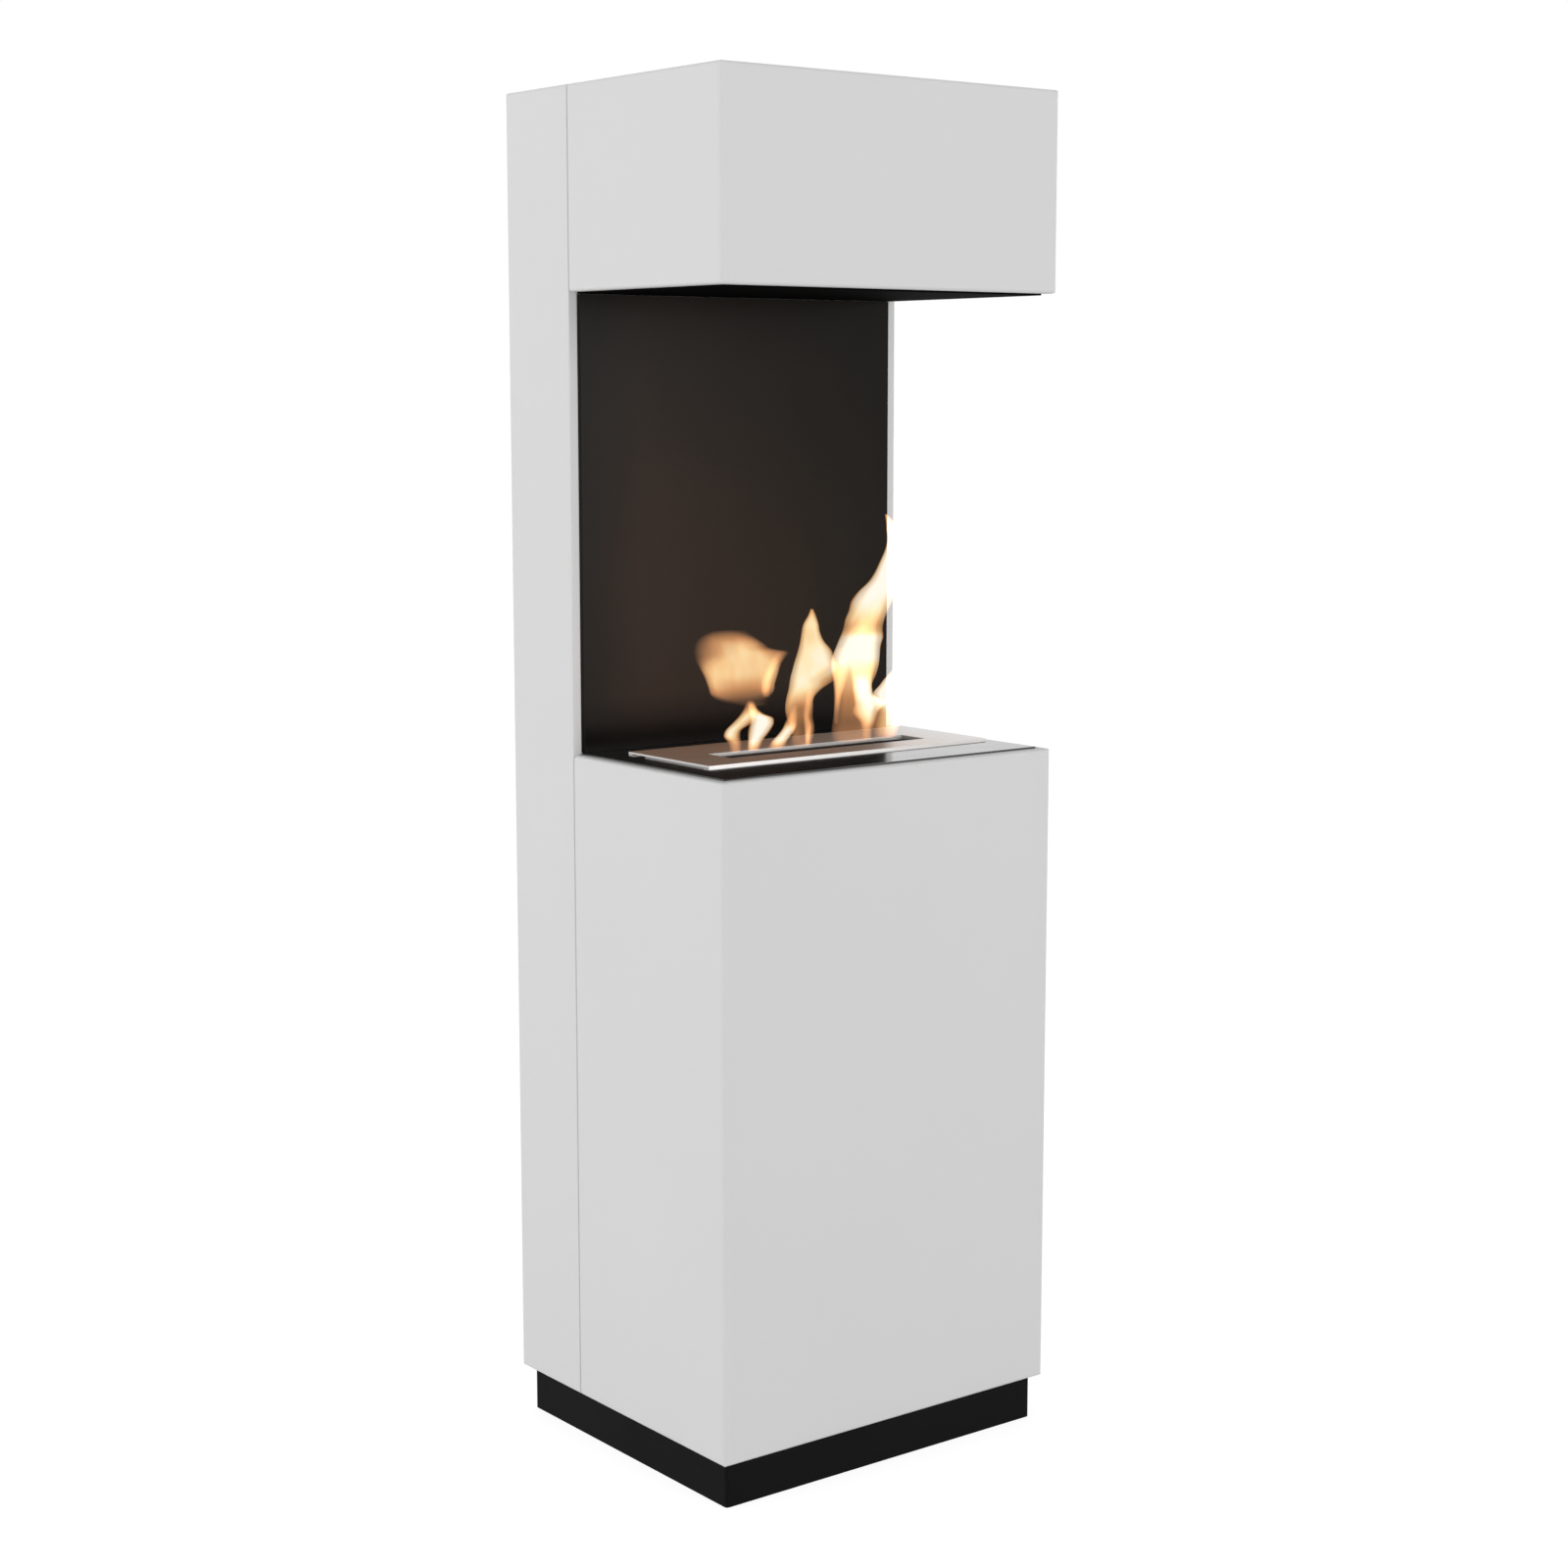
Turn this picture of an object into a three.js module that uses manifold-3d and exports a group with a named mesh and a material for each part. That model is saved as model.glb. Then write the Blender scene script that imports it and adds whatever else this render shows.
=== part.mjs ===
// Free-standing bioethanol fireplace: a white cabinet and a white hood hang on a full-height
// rear column, with the fire between them. Millimetres, +Z up, front towards -Y,
// origin on the floor under the middle of the footprint.
import * as THREE from "three";
import { mergeVertices } from "three/addons/utils/BufferGeometryUtils.js";
import Module from "manifold-3d";

// Outside sizes
const WIDTH = 350;
const DEPTH = 303;
const PLINTH_HEIGHT = 38.5;
const CABINET_HEIGHT = 560.5;
const OPENING_HEIGHT = 384.5;
const HOOD_HEIGHT = 166.5;
const COLUMN_DEPTH = 92;
const SEAM = 0.75; // hairline between the column and the boxes in front of it
const EDGE_RADIUS = 3;
const SEAM_RADIUS = 1;

// Sheet metal
const SHEET = 1.5;
const RIM_FLANGE = 30; // return flanges round the open top, bottom and back of a box
const GAP = 0.3; // running clearance round anything that passes through a sheet

// Black plates of the fire opening
const RIM_MARGIN = 8.25; // white rim left along the front and sides of each black plate
const PLATE = 1.5;
const PANEL = 2.5;
const PANEL_END_GAP = 0.25;

// Back of the column
const BACK_LIP = 8;
const BACK_LEG = 12;
const BACK_RECESS = 4.5;
const BACK_LEDGE = 18;

// Plinth and feet
const PLINTH_INSET = 7.75;
const PLINTH_WALL = 2;
const PLINTH_FLANGE = 30;
const PLINTH_RETURN = 8;
const BASE_PLATE = 3;
const BASE_CLEARANCE = 1.5;
const GUSSET_SIZE = 45;
const GUSSET_PLATE = 3;
const GUSSET_HEIGHT = 15;
const FOOT_INSET = 25;
const FOOT_PAD_RADIUS = 15;
const FOOT_PAD_HEIGHT = 5;
const FOOT_STEM_RADIUS = 4;
const FOOT_STEM_TOP = 35.5;
const FOOT_BOSS_RADIUS = 7;
const FOOT_BOSS_HEIGHT = 10;

// Burner
const BURNER_Y = -41;
const TANK_LENGTH = 262;
const TANK_BREADTH = 86;
const TANK_DEPTH = 60;
const TANK_WALL = 1.2;
const TANK_CORNER = 6;
const TANK_FLANGE = 1;
const TANK_FLANGE_END = 10; // overhang of the tank's rim at its two short ends
const TANK_FLANGE_SIDE = 5.5; // overhang along its long sides
const CUTOUT_CLEARANCE = 2;
const LID_DROP = 9.5; // from the tank's rim down to the ledge that the lid rests on
const LID_LEDGE = 4;
const LID_LEDGE_SHEET = 1.25;
const LID = 1.25;
const MOUTH_LENGTH = 206;
const MOUTH_BREADTH = 28;
const MOUTH_OFFSET = -11.25; // the slot lies in front of the burner's middle
const WOOL_SHEET = 0.75;
const WOOL_SHEET_DROP = 2; // from the underside of the ledge to the perforated sheet
const HOLE_LENGTH = 16;
const HOLE_BREADTH = 6;
const HOLE_COLUMNS = 7;
const HOLE_ROWS = 3;
const HOLE_PITCH_X = 34;
const HOLE_PITCH_Y = 22;

// Closing slide
const SLIDER = 1.2;
const SLIDER_TRAVEL = 33;
const SLIDER_OVERLAP = 4; // cover past each edge of the mouth
const SLIDER_SIDE_RUN = 10; // how far the slide runs past the mouth's ends, into its guides
const GUIDE_SHEET = 1;
const GUIDE_BREADTH = 10;
const TAB_HEIGHT = 5.5;

// Cover plate of the burner
const COVER_LENGTH = 296.6;
const COVER_BREADTH = 113.8;
const COVER_SHEET = 1.5;
const COVER_HEIGHT = 3.85;
const COVER_RETURN = 7.5;
const COVER_RETURN_SHEET = 1.2;
const COVER_SEAT_GAP = 0.3;
const SLOT_LENGTH = 209.5;
const SLOT_BREADTH = 31.5;
const SLOT_EDGE = 1.2;
const SLOT_EDGE_DEPTH = 3;

// Fasteners
const BOLT_RADIUS = 3;
const BOLT_HEAD_FLATS = 10;
const BOLT_HEAD = 4;
const BOLT_GRIP = 5; // threaded length past the sheets
const WELD_NUT_FLATS = 11;
const STUD_RADIUS = 2.5;
const STUD_GRIP = 5.5;
const NUT_FLATS = 8;
const NUT_HEIGHT = 4;
const FIXING_INSET = 20; // from a box's outer face to its fixings
const BOLT_INSET = 14;
const BOLT_END_INSET = 60;
const SCREW_RADIUS = 2;
const SCREW_HEAD_RADIUS = 4;
const SCREW_HEAD = 2.2;
const SCREW_LENGTH = 10;
const SCREW_INSET = 9;

// Roundness of curved edges
const EDGE_STEPS = 4;
const ROUND_STEPS = 12;
const SCREW_HEAD_STEPS = 20;
const PAD_STEPS = 28;

// Levels and planes worked out from the sizes
const CABINET_TOP = PLINTH_HEIGHT + CABINET_HEIGHT;
const HOOD_BOTTOM = CABINET_TOP + OPENING_HEIGHT;
const TOP = HOOD_BOTTOM + HOOD_HEIGHT;
const RIGHT = WIDTH / 2;
const FRONT = -DEPTH / 2;
const BACK = DEPTH / 2;
const COLUMN_FRONT = BACK - COLUMN_DEPTH;
const BOX_BACK = COLUMN_FRONT - SEAM;
const DECK_TOP = CABINET_TOP + PLATE;
const TANK_BOTTOM = DECK_TOP - TANK_DEPTH;
const RIM_TOP = DECK_TOP + TANK_FLANGE;
const LEDGE_TOP = RIM_TOP - LID_DROP;
const LID_TOP = LEDGE_TOP + LID;
const COVER_BOTTOM = DECK_TOP + COVER_SEAT_GAP;
const COVER_TOP = COVER_BOTTOM + COVER_HEIGHT;
const MOUTH_Y = BURNER_Y + MOUTH_OFFSET;

const wasm = await Module();
wasm.setup();

// Solids

function solidOf(geometry) {
  const bare = geometry.index ? geometry.toNonIndexed() : geometry;
  bare.deleteAttribute("normal");
  bare.deleteAttribute("uv");
  const merged = mergeVertices(bare, 1e-4);
  return new wasm.Manifold(
    new wasm.Mesh({
      numProp: 3,
      vertProperties: new Float32Array(merged.attributes.position.array),
      triVerts: new Uint32Array(merged.index.array),
    }),
  );
}

function geometryOf(solid) {
  const mesh = solid.getMesh();
  const geometry = new THREE.BufferGeometry();
  geometry.setAttribute("position", new THREE.BufferAttribute(mesh.vertProperties, 3));
  geometry.setIndex(new THREE.BufferAttribute(mesh.triVerts, 1));
  const flat = geometry.toNonIndexed();
  flat.computeVertexNormals();
  return flat;
}

function union(solids) {
  return solids.reduce((whole, solid) => whole.add(solid));
}

function cut(solid, tools) {
  return tools.reduce((rest, tool) => rest.subtract(tool), solid);
}

function block([x0, x1], [y0, y1], [z0, z1]) {
  const box = new THREE.BoxGeometry(x1 - x0, y1 - y0, z1 - z0);
  box.translate((x0 + x1) / 2, (y0 + y1) / 2, (z0 + z1) / 2);
  return solidOf(box);
}

// Rectangle with its own radius at each corner: low-low, high-low, high-high, low-high
function roundedOutline([u0, u1], [v0, v1], [ll, hl, hh, lh]) {
  const outline = new THREE.Shape();
  outline.absarc(u0 + ll, v0 + ll, ll, Math.PI, 1.5 * Math.PI);
  outline.absarc(u1 - hl, v0 + hl, hl, 1.5 * Math.PI, 2 * Math.PI);
  outline.absarc(u1 - hh, v1 - hh, hh, 0, 0.5 * Math.PI);
  outline.absarc(u0 + lh, v1 - lh, lh, 0.5 * Math.PI, Math.PI);
  return outline;
}

function extrude(outline, length, steps = EDGE_STEPS) {
  const options = { depth: length, bevelEnabled: false, curveSegments: steps };
  return new THREE.ExtrudeGeometry(outline, options);
}

function alongZ(outline, [z0, z1], steps) {
  return solidOf(extrude(outline, z1 - z0, steps).translate(0, 0, z0));
}

function alongY(outline, [y0, y1], steps) {
  return solidOf(extrude(outline, y1 - y0, steps).rotateX(Math.PI / 2).translate(0, y1, 0));
}

function alongX(outline, [x0, x1], steps) {
  const turn = new THREE.Matrix4().set(0, 0, 1, 0, 1, 0, 0, 0, 0, 1, 0, 0, 0, 0, 0, 1);
  return solidOf(extrude(outline, x1 - x0, steps).applyMatrix4(turn).translate(x0, 0, 0));
}

// Block with rounded edges: plan radii (front-left, front-right, back-right, back-left),
// then the radius of the bottom and top edges at the sides, at the front and at the back
function roundedBlock(xs, ys, zs, { plan, sides, front, back }) {
  const fromAbove = alongZ(roundedOutline(xs, ys, plan), zs);
  const fromFront = alongY(roundedOutline(xs, zs, [sides, sides, sides, sides]), ys);
  const fromSide = alongX(roundedOutline(ys, zs, [front, back, back, front]), xs);
  return fromAbove.intersect(fromFront).intersect(fromSide);
}

function polygon(radius, corners) {
  const outline = new THREE.Shape();
  for (let corner = 0; corner < corners; corner += 1) {
    const angle = ((corner + 0.5) * 2 * Math.PI) / corners;
    const point = [radius * Math.cos(angle), radius * Math.sin(angle)];
    if (corner === 0) outline.moveTo(...point);
    else outline.lineTo(...point);
  }
  outline.closePath();
  return outline;
}

function hexagon(flats) {
  return polygon(flats / Math.sqrt(3), 6);
}

function circle(radius, steps = ROUND_STEPS) {
  return polygon(radius, steps);
}

// Pins and holes about an upright or a fore-and-aft axis
function uprightPrism(outline, [x, y], zs) {
  return alongZ(outline, zs).translate([x, y, 0]);
}

function levelPrism(outline, [x, z], ys) {
  return alongY(outline, ys).translate([x, 0, z]);
}

function slotOutline(length, breadth) {
  const radius = breadth / 2;
  const run = length / 2 - radius;
  const outline = new THREE.Shape();
  outline.absarc(run, 0, radius, -Math.PI / 2, Math.PI / 2);
  outline.absarc(-run, 0, radius, Math.PI / 2, 1.5 * Math.PI);
  return outline;
}

function centred(middle, size) {
  return [middle - size / 2, middle + size / 2];
}

function grown([low, high], by) {
  return [low - by, high + by];
}

// Places of the fixings

const boxFixings = [
  [-RIGHT + FIXING_INSET, FRONT + FIXING_INSET],
  [RIGHT - FIXING_INSET, FRONT + FIXING_INSET],
  [RIGHT - FIXING_INSET, BOX_BACK - FIXING_INSET],
  [-RIGHT + FIXING_INSET, BOX_BACK - FIXING_INSET],
];
const columnFixings = [-1, 1].map((side) => [
  side * (RIGHT - FIXING_INSET),
  BACK - PLINTH_INSET - PLINTH_FLANGE / 2,
]);

function boltPlaces(bottom, top, endInset) {
  const heights = [bottom + endInset, top - endInset];
  return heights.flatMap((z) => [-1, 1].map((side) => [side * (RIGHT - BOLT_INSET), z]));
}

const cabinetBolts = boltPlaces(PLINTH_HEIGHT, CABINET_TOP, BOLT_END_INSET);
const hoodBolts = boltPlaces(HOOD_BOTTOM, TOP, BOLT_END_INSET);
const panelStuds = boltPlaces(CABINET_TOP, HOOD_BOTTOM, BOLT_END_INSET).map(([x, z]) => [
  Math.sign(x) * (Math.abs(x) - FIXING_INSET),
  z,
]);
const screwHeights = [PLINTH_HEIGHT + SCREW_INSET * 3, (PLINTH_HEIGHT + TOP) / 2, TOP - SCREW_INSET * 3];
const backScrews = screwHeights.flatMap((z) =>
  [-1, 1].map((side) => [side * (RIGHT - BACK_LIP - SCREW_INSET), z]),
);
const footPlaces = [-1, 1].flatMap((side) =>
  [-1, 1].map((end) => [
    side * (RIGHT - PLINTH_INSET - FOOT_INSET),
    end * (BACK - PLINTH_INSET - FOOT_INSET),
  ]),
);

// White sheet-metal boxes

// A bent sheet box, open at the back and at one end inside its return flanges
function openBox(bottom, top, openAtTop, openAtBottom) {
  const outerEdges = { sides: EDGE_RADIUS, front: EDGE_RADIUS, back: EDGE_RADIUS };
  const innerRadius = EDGE_RADIUS - SHEET;
  const innerEdges = { sides: innerRadius, front: innerRadius, back: innerRadius };
  const seam = SEAM_RADIUS;
  const outerPlan = [EDGE_RADIUS, EDGE_RADIUS, seam, seam];
  const innerPlan = [innerRadius, innerRadius, innerRadius, innerRadius];
  const xs = [-RIGHT, RIGHT];
  const ys = [FRONT, BOX_BACK];
  const zs = [bottom, top];
  const inner = [xs, ys, zs].map((span) => grown(span, -SHEET));
  const window = [xs, ys, zs].map((span) => grown(span, -RIM_FLANGE));
  const shell = roundedBlock(xs, ys, zs, { plan: outerPlan, ...outerEdges }).subtract(
    roundedBlock(...inner, { plan: innerPlan, ...innerEdges }),
  );
  const middle = (bottom + top) / 2;
  const cuts = [block(window[0], [BOX_BACK - RIM_FLANGE, BACK], window[2])];
  if (openAtTop) cuts.push(block(window[0], window[1], [middle, top + SHEET]));
  if (openAtBottom) cuts.push(block(window[0], window[1], [bottom - SHEET, middle]));
  return cut(shell, cuts);
}

// Weld nuts behind the rear flange of a box, on the axes of its bolts
function addWeldNuts(box, places) {
  const inside = BOX_BACK - SHEET;
  const nuts = places.map((at) =>
    levelPrism(hexagon(WELD_NUT_FLATS), at, [inside - BOLT_GRIP, inside + SHEET / 2]),
  );
  const bores = places.map((at) =>
    levelPrism(circle(BOLT_RADIUS + GAP), at, [inside - BOLT_GRIP - SHEET, COLUMN_FRONT]),
  );
  return cut(union([box, ...nuts]), bores);
}

function cabinetShell() {
  const box = addWeldNuts(openBox(PLINTH_HEIGHT, CABINET_TOP, true, true), cabinetBolts);
  const studHoles = boxFixings.map((at) =>
    uprightPrism(circle(STUD_RADIUS + GAP), at, grown([CABINET_TOP - SHEET, CABINET_TOP], SHEET)),
  );
  const boltHoles = boxFixings.map((at) =>
    uprightPrism(circle(BOLT_RADIUS + GAP), at, grown([PLINTH_HEIGHT, PLINTH_HEIGHT + SHEET], SHEET)),
  );
  return cut(box, [...studHoles, ...boltHoles]);
}

function hoodShell() {
  const box = addWeldNuts(openBox(HOOD_BOTTOM, TOP, false, true), hoodBolts);
  const studHoles = boxFixings.map((at) =>
    uprightPrism(circle(STUD_RADIUS + GAP), at, grown([HOOD_BOTTOM, HOOD_BOTTOM + SHEET], SHEET)),
  );
  return cut(box, studHoles);
}

// Back frame: a folded ring inside the column's open back. Its edge leg is spot-welded to the walls,
// its lip closes the rim flush with the column, and its ledge carries the cover.
function columnBackFrame() {
  const outerX = grown([-RIGHT, RIGHT], -SHEET - GAP);
  const outerZ = grown([PLINTH_HEIGHT, TOP], -SHEET - GAP);
  const lipX = grown([-RIGHT, RIGHT], -BACK_LIP);
  const lipZ = grown([PLINTH_HEIGHT, TOP], -BACK_LIP);
  const ledgeFront = BACK - BACK_RECESS - SHEET;
  const edgeLeg = block(outerX, [BACK - BACK_LEG, BACK], outerZ);
  const legInside = block(
    grown(outerX, -SHEET),
    [BACK - BACK_LEG - SHEET, BACK - SHEET],
    grown(outerZ, -SHEET),
  );
  const step = block(grown(lipX, SHEET), [ledgeFront, BACK - SHEET / 2], grown(lipZ, SHEET));
  const recess = block(lipX, [BACK - BACK_RECESS, BACK + SHEET], lipZ);
  const window = block(
    grown(lipX, -BACK_LEDGE),
    [ledgeFront - SHEET, BACK],
    grown(lipZ, -BACK_LEDGE),
  );
  const screws = backScrews.map((at) =>
    levelPrism(circle(SCREW_RADIUS + GAP), at, grown([ledgeFront, ledgeFront + SHEET], SHEET)),
  );
  return cut(union([cut(edgeLeg, [legInside]), step]), [recess, window, ...screws]);
}

function rearColumn() {
  const xs = [-RIGHT, RIGHT];
  const ys = [COLUMN_FRONT, BACK];
  const zs = [PLINTH_HEIGHT, TOP];
  const plan = [SEAM_RADIUS, SEAM_RADIUS, SEAM_RADIUS, SEAM_RADIUS];
  const edges = { plan, sides: EDGE_RADIUS, front: SEAM_RADIUS, back: SEAM_RADIUS };
  const outer = roundedBlock(xs, ys, zs, edges);
  const inside = COLUMN_FRONT + SHEET;
  const inner = block(grown(xs, -SHEET), [inside, BACK + SHEET], grown(zs, -SHEET));
  const wall = grown([COLUMN_FRONT, inside], SHEET / 2);
  const bolts = [...cabinetBolts, ...hoodBolts].map((at) =>
    levelPrism(circle(BOLT_RADIUS + GAP), at, wall),
  );
  const studs = panelStuds.map((at) => levelPrism(circle(STUD_RADIUS + GAP), at, wall));
  const floor = PLINTH_HEIGHT + SHEET;
  const nuts = columnFixings.map((at) =>
    uprightPrism(hexagon(WELD_NUT_FLATS), at, [floor - SHEET / 2, floor + BOLT_GRIP]),
  );
  const bores = columnFixings.map((at) =>
    uprightPrism(circle(BOLT_RADIUS + GAP), at, [PLINTH_HEIGHT - SHEET, floor + BOLT_GRIP + SHEET]),
  );
  const body = union([cut(outer, [inner]), ...nuts]);
  return cut(body, [...bolts, ...studs, ...bores]);
}

function backCover() {
  const face = BACK - BACK_RECESS;
  const xs = grown([-RIGHT, RIGHT], -BACK_LIP - GAP);
  const zs = grown([PLINTH_HEIGHT, TOP], -BACK_LIP - GAP);
  const corners = [EDGE_RADIUS, EDGE_RADIUS, EDGE_RADIUS, EDGE_RADIUS];
  const sheet = alongY(roundedOutline(xs, zs, corners), [face, face + SHEET]);
  const holes = backScrews.map((at) =>
    levelPrism(circle(SCREW_RADIUS + GAP), at, grown([face, face + SHEET], SHEET)),
  );
  return cut(sheet, holes);
}

// Black plates of the fire opening

// A flat plate that ends square against the column, with its other visible edges rounded
function rimPlate(level, direction) {
  const xs = grown([-RIGHT, RIGHT], -RIM_MARGIN);
  const ys = [FRONT + RIM_MARGIN, BOX_BACK];
  const zs = direction > 0 ? [level, level + PLATE] : [level - PLATE, level];
  const longer = [ys[0], ys[1] + 2 * EDGE_RADIUS];
  const soft = [level - PLATE, level + PLATE];
  const plan = [EDGE_RADIUS, EDGE_RADIUS, EDGE_RADIUS, EDGE_RADIUS];
  const edge = PLATE - GAP / 2;
  const whole = roundedBlock(xs, longer, soft, { plan, sides: edge, front: edge, back: edge });
  return whole.intersect(block(grown(xs, 1), [ys[0] - 1, ys[1]], zs));
}

function deckPlate() {
  const cutout = block(
    centred(0, TANK_LENGTH + 2 * CUTOUT_CLEARANCE),
    centred(BURNER_Y, TANK_BREADTH + 2 * CUTOUT_CLEARANCE),
    grown([CABINET_TOP, DECK_TOP], PLATE),
  );
  const studs = boxFixings.map((at) =>
    uprightPrism(circle(STUD_RADIUS), at, [CABINET_TOP - SHEET - STUD_GRIP, CABINET_TOP + PLATE / 2]),
  );
  return cut(union([rimPlate(CABINET_TOP, 1), ...studs]), [cutout]);
}

function ceilingPlate() {
  const studs = boxFixings.map((at) =>
    uprightPrism(circle(STUD_RADIUS), at, [HOOD_BOTTOM - PLATE / 2, HOOD_BOTTOM + SHEET + STUD_GRIP]),
  );
  return union([rimPlate(HOOD_BOTTOM, -1), ...studs]);
}

function fireBackPanel() {
  const xs = grown([-RIGHT, RIGHT], -RIM_MARGIN);
  const zs = [DECK_TOP + PANEL_END_GAP, HOOD_BOTTOM - PLATE - PANEL_END_GAP];
  const ys = [COLUMN_FRONT - PANEL, COLUMN_FRONT + PANEL];
  const plan = [PANEL, PANEL, PANEL, PANEL];
  const edges = { plan, sides: EDGE_RADIUS, front: PANEL, back: PANEL };
  const shown = block(grown(xs, 1), [COLUMN_FRONT - PANEL, COLUMN_FRONT], zs);
  const plate = roundedBlock(xs, ys, grown(zs, 2 * EDGE_RADIUS), edges).intersect(shown);
  const inside = COLUMN_FRONT + SHEET;
  const studs = panelStuds.map((at) =>
    levelPrism(circle(STUD_RADIUS), at, [COLUMN_FRONT - PANEL / 2, inside + STUD_GRIP]),
  );
  return union([plate, ...studs]);
}

// Plinth

function plinthFrame() {
  const xs = grown([-RIGHT, RIGHT], -PLINTH_INSET);
  const ys = grown([FRONT, BACK], -PLINTH_INSET);
  const corner = [EDGE_RADIUS, EDGE_RADIUS, EDGE_RADIUS, EDGE_RADIUS];
  const outer = alongZ(roundedOutline(xs, ys, corner), [0, PLINTH_HEIGHT]);
  const within = [PLINTH_WALL, PLINTH_HEIGHT - PLINTH_WALL];
  const hollow = block(grown(xs, -PLINTH_WALL), grown(ys, -PLINTH_WALL), within);
  const window = block(
    grown(xs, -PLINTH_FLANGE),
    grown(ys, -PLINTH_FLANGE),
    [PLINTH_WALL, PLINTH_HEIGHT + PLINTH_WALL],
  );
  const mouth = block(
    grown(xs, -PLINTH_RETURN),
    grown(ys, -PLINTH_RETURN),
    [-PLINTH_WALL, 2 * PLINTH_WALL],
  );
  const gussets = footPlaces.map(([x, y]) => footGusset(Math.sign(x), Math.sign(y)));
  const bossTop = GUSSET_HEIGHT + GUSSET_PLATE + FOOT_BOSS_HEIGHT;
  const bosses = footPlaces.map((at) =>
    uprightPrism(circle(FOOT_BOSS_RADIUS), at, [GUSSET_HEIGHT, bossTop]),
  );
  const threads = footPlaces.map((at) =>
    uprightPrism(circle(FOOT_STEM_RADIUS + GAP), at, [GUSSET_HEIGHT - PLINTH_WALL, bossTop + 1]),
  );
  const flange = [PLINTH_HEIGHT - PLINTH_WALL, PLINTH_HEIGHT];
  const boltHoles = [...boxFixings, ...columnFixings].map((at) =>
    uprightPrism(circle(BOLT_RADIUS + GAP), at, grown(flange, PLINTH_WALL)),
  );
  const frame = union([cut(outer, [hollow, window, mouth]), ...gussets, ...bosses]);
  return cut(frame, [...threads, ...boltHoles]);
}

// Corner plate that carries a foot, let into the two walls that meet there
function footGusset(side, end) {
  const outerX = side * (RIGHT - PLINTH_INSET - PLINTH_WALL / 2);
  const outerY = end * (BACK - PLINTH_INSET - PLINTH_WALL / 2);
  const innerX = outerX - side * GUSSET_SIZE;
  const innerY = outerY - end * GUSSET_SIZE;
  return block(
    [Math.min(outerX, innerX), Math.max(outerX, innerX)],
    [Math.min(outerY, innerY), Math.max(outerY, innerY)],
    [GUSSET_HEIGHT, GUSSET_HEIGHT + GUSSET_PLATE],
  );
}

function levellingFoot(at) {
  const pad = uprightPrism(circle(FOOT_PAD_RADIUS, PAD_STEPS), at, [0, FOOT_PAD_HEIGHT]);
  const stem = uprightPrism(circle(FOOT_STEM_RADIUS), at, [FOOT_PAD_HEIGHT / 2, FOOT_STEM_TOP]);
  return union([pad, stem]);
}

function basePlate() {
  const bottom = PLINTH_HEIGHT + SHEET;
  const top = bottom + BASE_PLATE;
  const xs = grown([-RIGHT, RIGHT], -SHEET - BASE_CLEARANCE);
  const ys = grown([FRONT, BOX_BACK], -SHEET - BASE_CLEARANCE);
  const nuts = boxFixings.map((at) =>
    uprightPrism(hexagon(WELD_NUT_FLATS), at, [top - BASE_PLATE / 2, top + BOLT_GRIP]),
  );
  const bores = boxFixings.map((at) =>
    uprightPrism(circle(BOLT_RADIUS + GAP), at, grown([bottom, top + BOLT_GRIP], BASE_PLATE)),
  );
  return cut(union([block(xs, ys, [bottom, top]), ...nuts]), bores);
}

// Burner

const tankX = centred(0, TANK_LENGTH);
const tankY = centred(BURNER_Y, TANK_BREADTH);
const tankCorners = [TANK_CORNER, TANK_CORNER, TANK_CORNER, TANK_CORNER];
const wellCorners = tankCorners.map((radius) => radius - TANK_WALL);
const wellX = grown(tankX, -TANK_WALL);
const wellY = grown(tankY, -TANK_WALL);

// What fits inside the tank, with a clearance all round
function wellOutline(clearance) {
  return roundedOutline(grown(wellX, -clearance), grown(wellY, -clearance), wellCorners);
}

function burnerTank() {
  const body = alongZ(roundedOutline(tankX, tankY, tankCorners), [TANK_BOTTOM, RIM_TOP]);
  const rim = alongZ(
    roundedOutline(grown(tankX, TANK_FLANGE_END), grown(tankY, TANK_FLANGE_SIDE), tankCorners),
    [DECK_TOP, RIM_TOP],
  );
  const ledgeBottom = LEDGE_TOP - LID_LEDGE_SHEET;
  const above = alongZ(wellOutline(0), [LEDGE_TOP, RIM_TOP + TANK_WALL]);
  const below = alongZ(wellOutline(0), [TANK_BOTTOM + TANK_WALL, ledgeBottom]);
  const throat = alongZ(wellOutline(LID_LEDGE), [ledgeBottom - TANK_WALL, RIM_TOP]);
  return cut(union([body, rim]), [above, below, throat]);
}

function tankLid() {
  const plate = alongZ(wellOutline(GAP), [LEDGE_TOP, LID_TOP]);
  const mouth = block(
    centred(0, MOUTH_LENGTH),
    centred(MOUTH_Y, MOUTH_BREADTH),
    grown([LEDGE_TOP, LID_TOP], LID),
  );
  return plate.subtract(mouth);
}

const sheetTop = LEDGE_TOP - LID_LEDGE_SHEET - WOOL_SHEET_DROP;

function woolHolePlaces() {
  const places = [];
  for (let column = 0; column < HOLE_COLUMNS; column += 1)
    for (let row = 0; row < HOLE_ROWS; row += 1)
      places.push([
        (column - (HOLE_COLUMNS - 1) / 2) * HOLE_PITCH_X,
        BURNER_Y + (row - (HOLE_ROWS - 1) / 2) * HOLE_PITCH_Y,
      ]);
  return places;
}

function woolCoverSheet() {
  const plate = alongZ(wellOutline(GAP), [sheetTop - WOOL_SHEET, sheetTop]);
  const holes = woolHolePlaces().map((at) =>
    uprightPrism(slotOutline(HOLE_LENGTH, HOLE_BREADTH), at, grown([sheetTop - WOOL_SHEET, sheetTop], 1)),
  );
  return cut(plate, holes);
}

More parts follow.
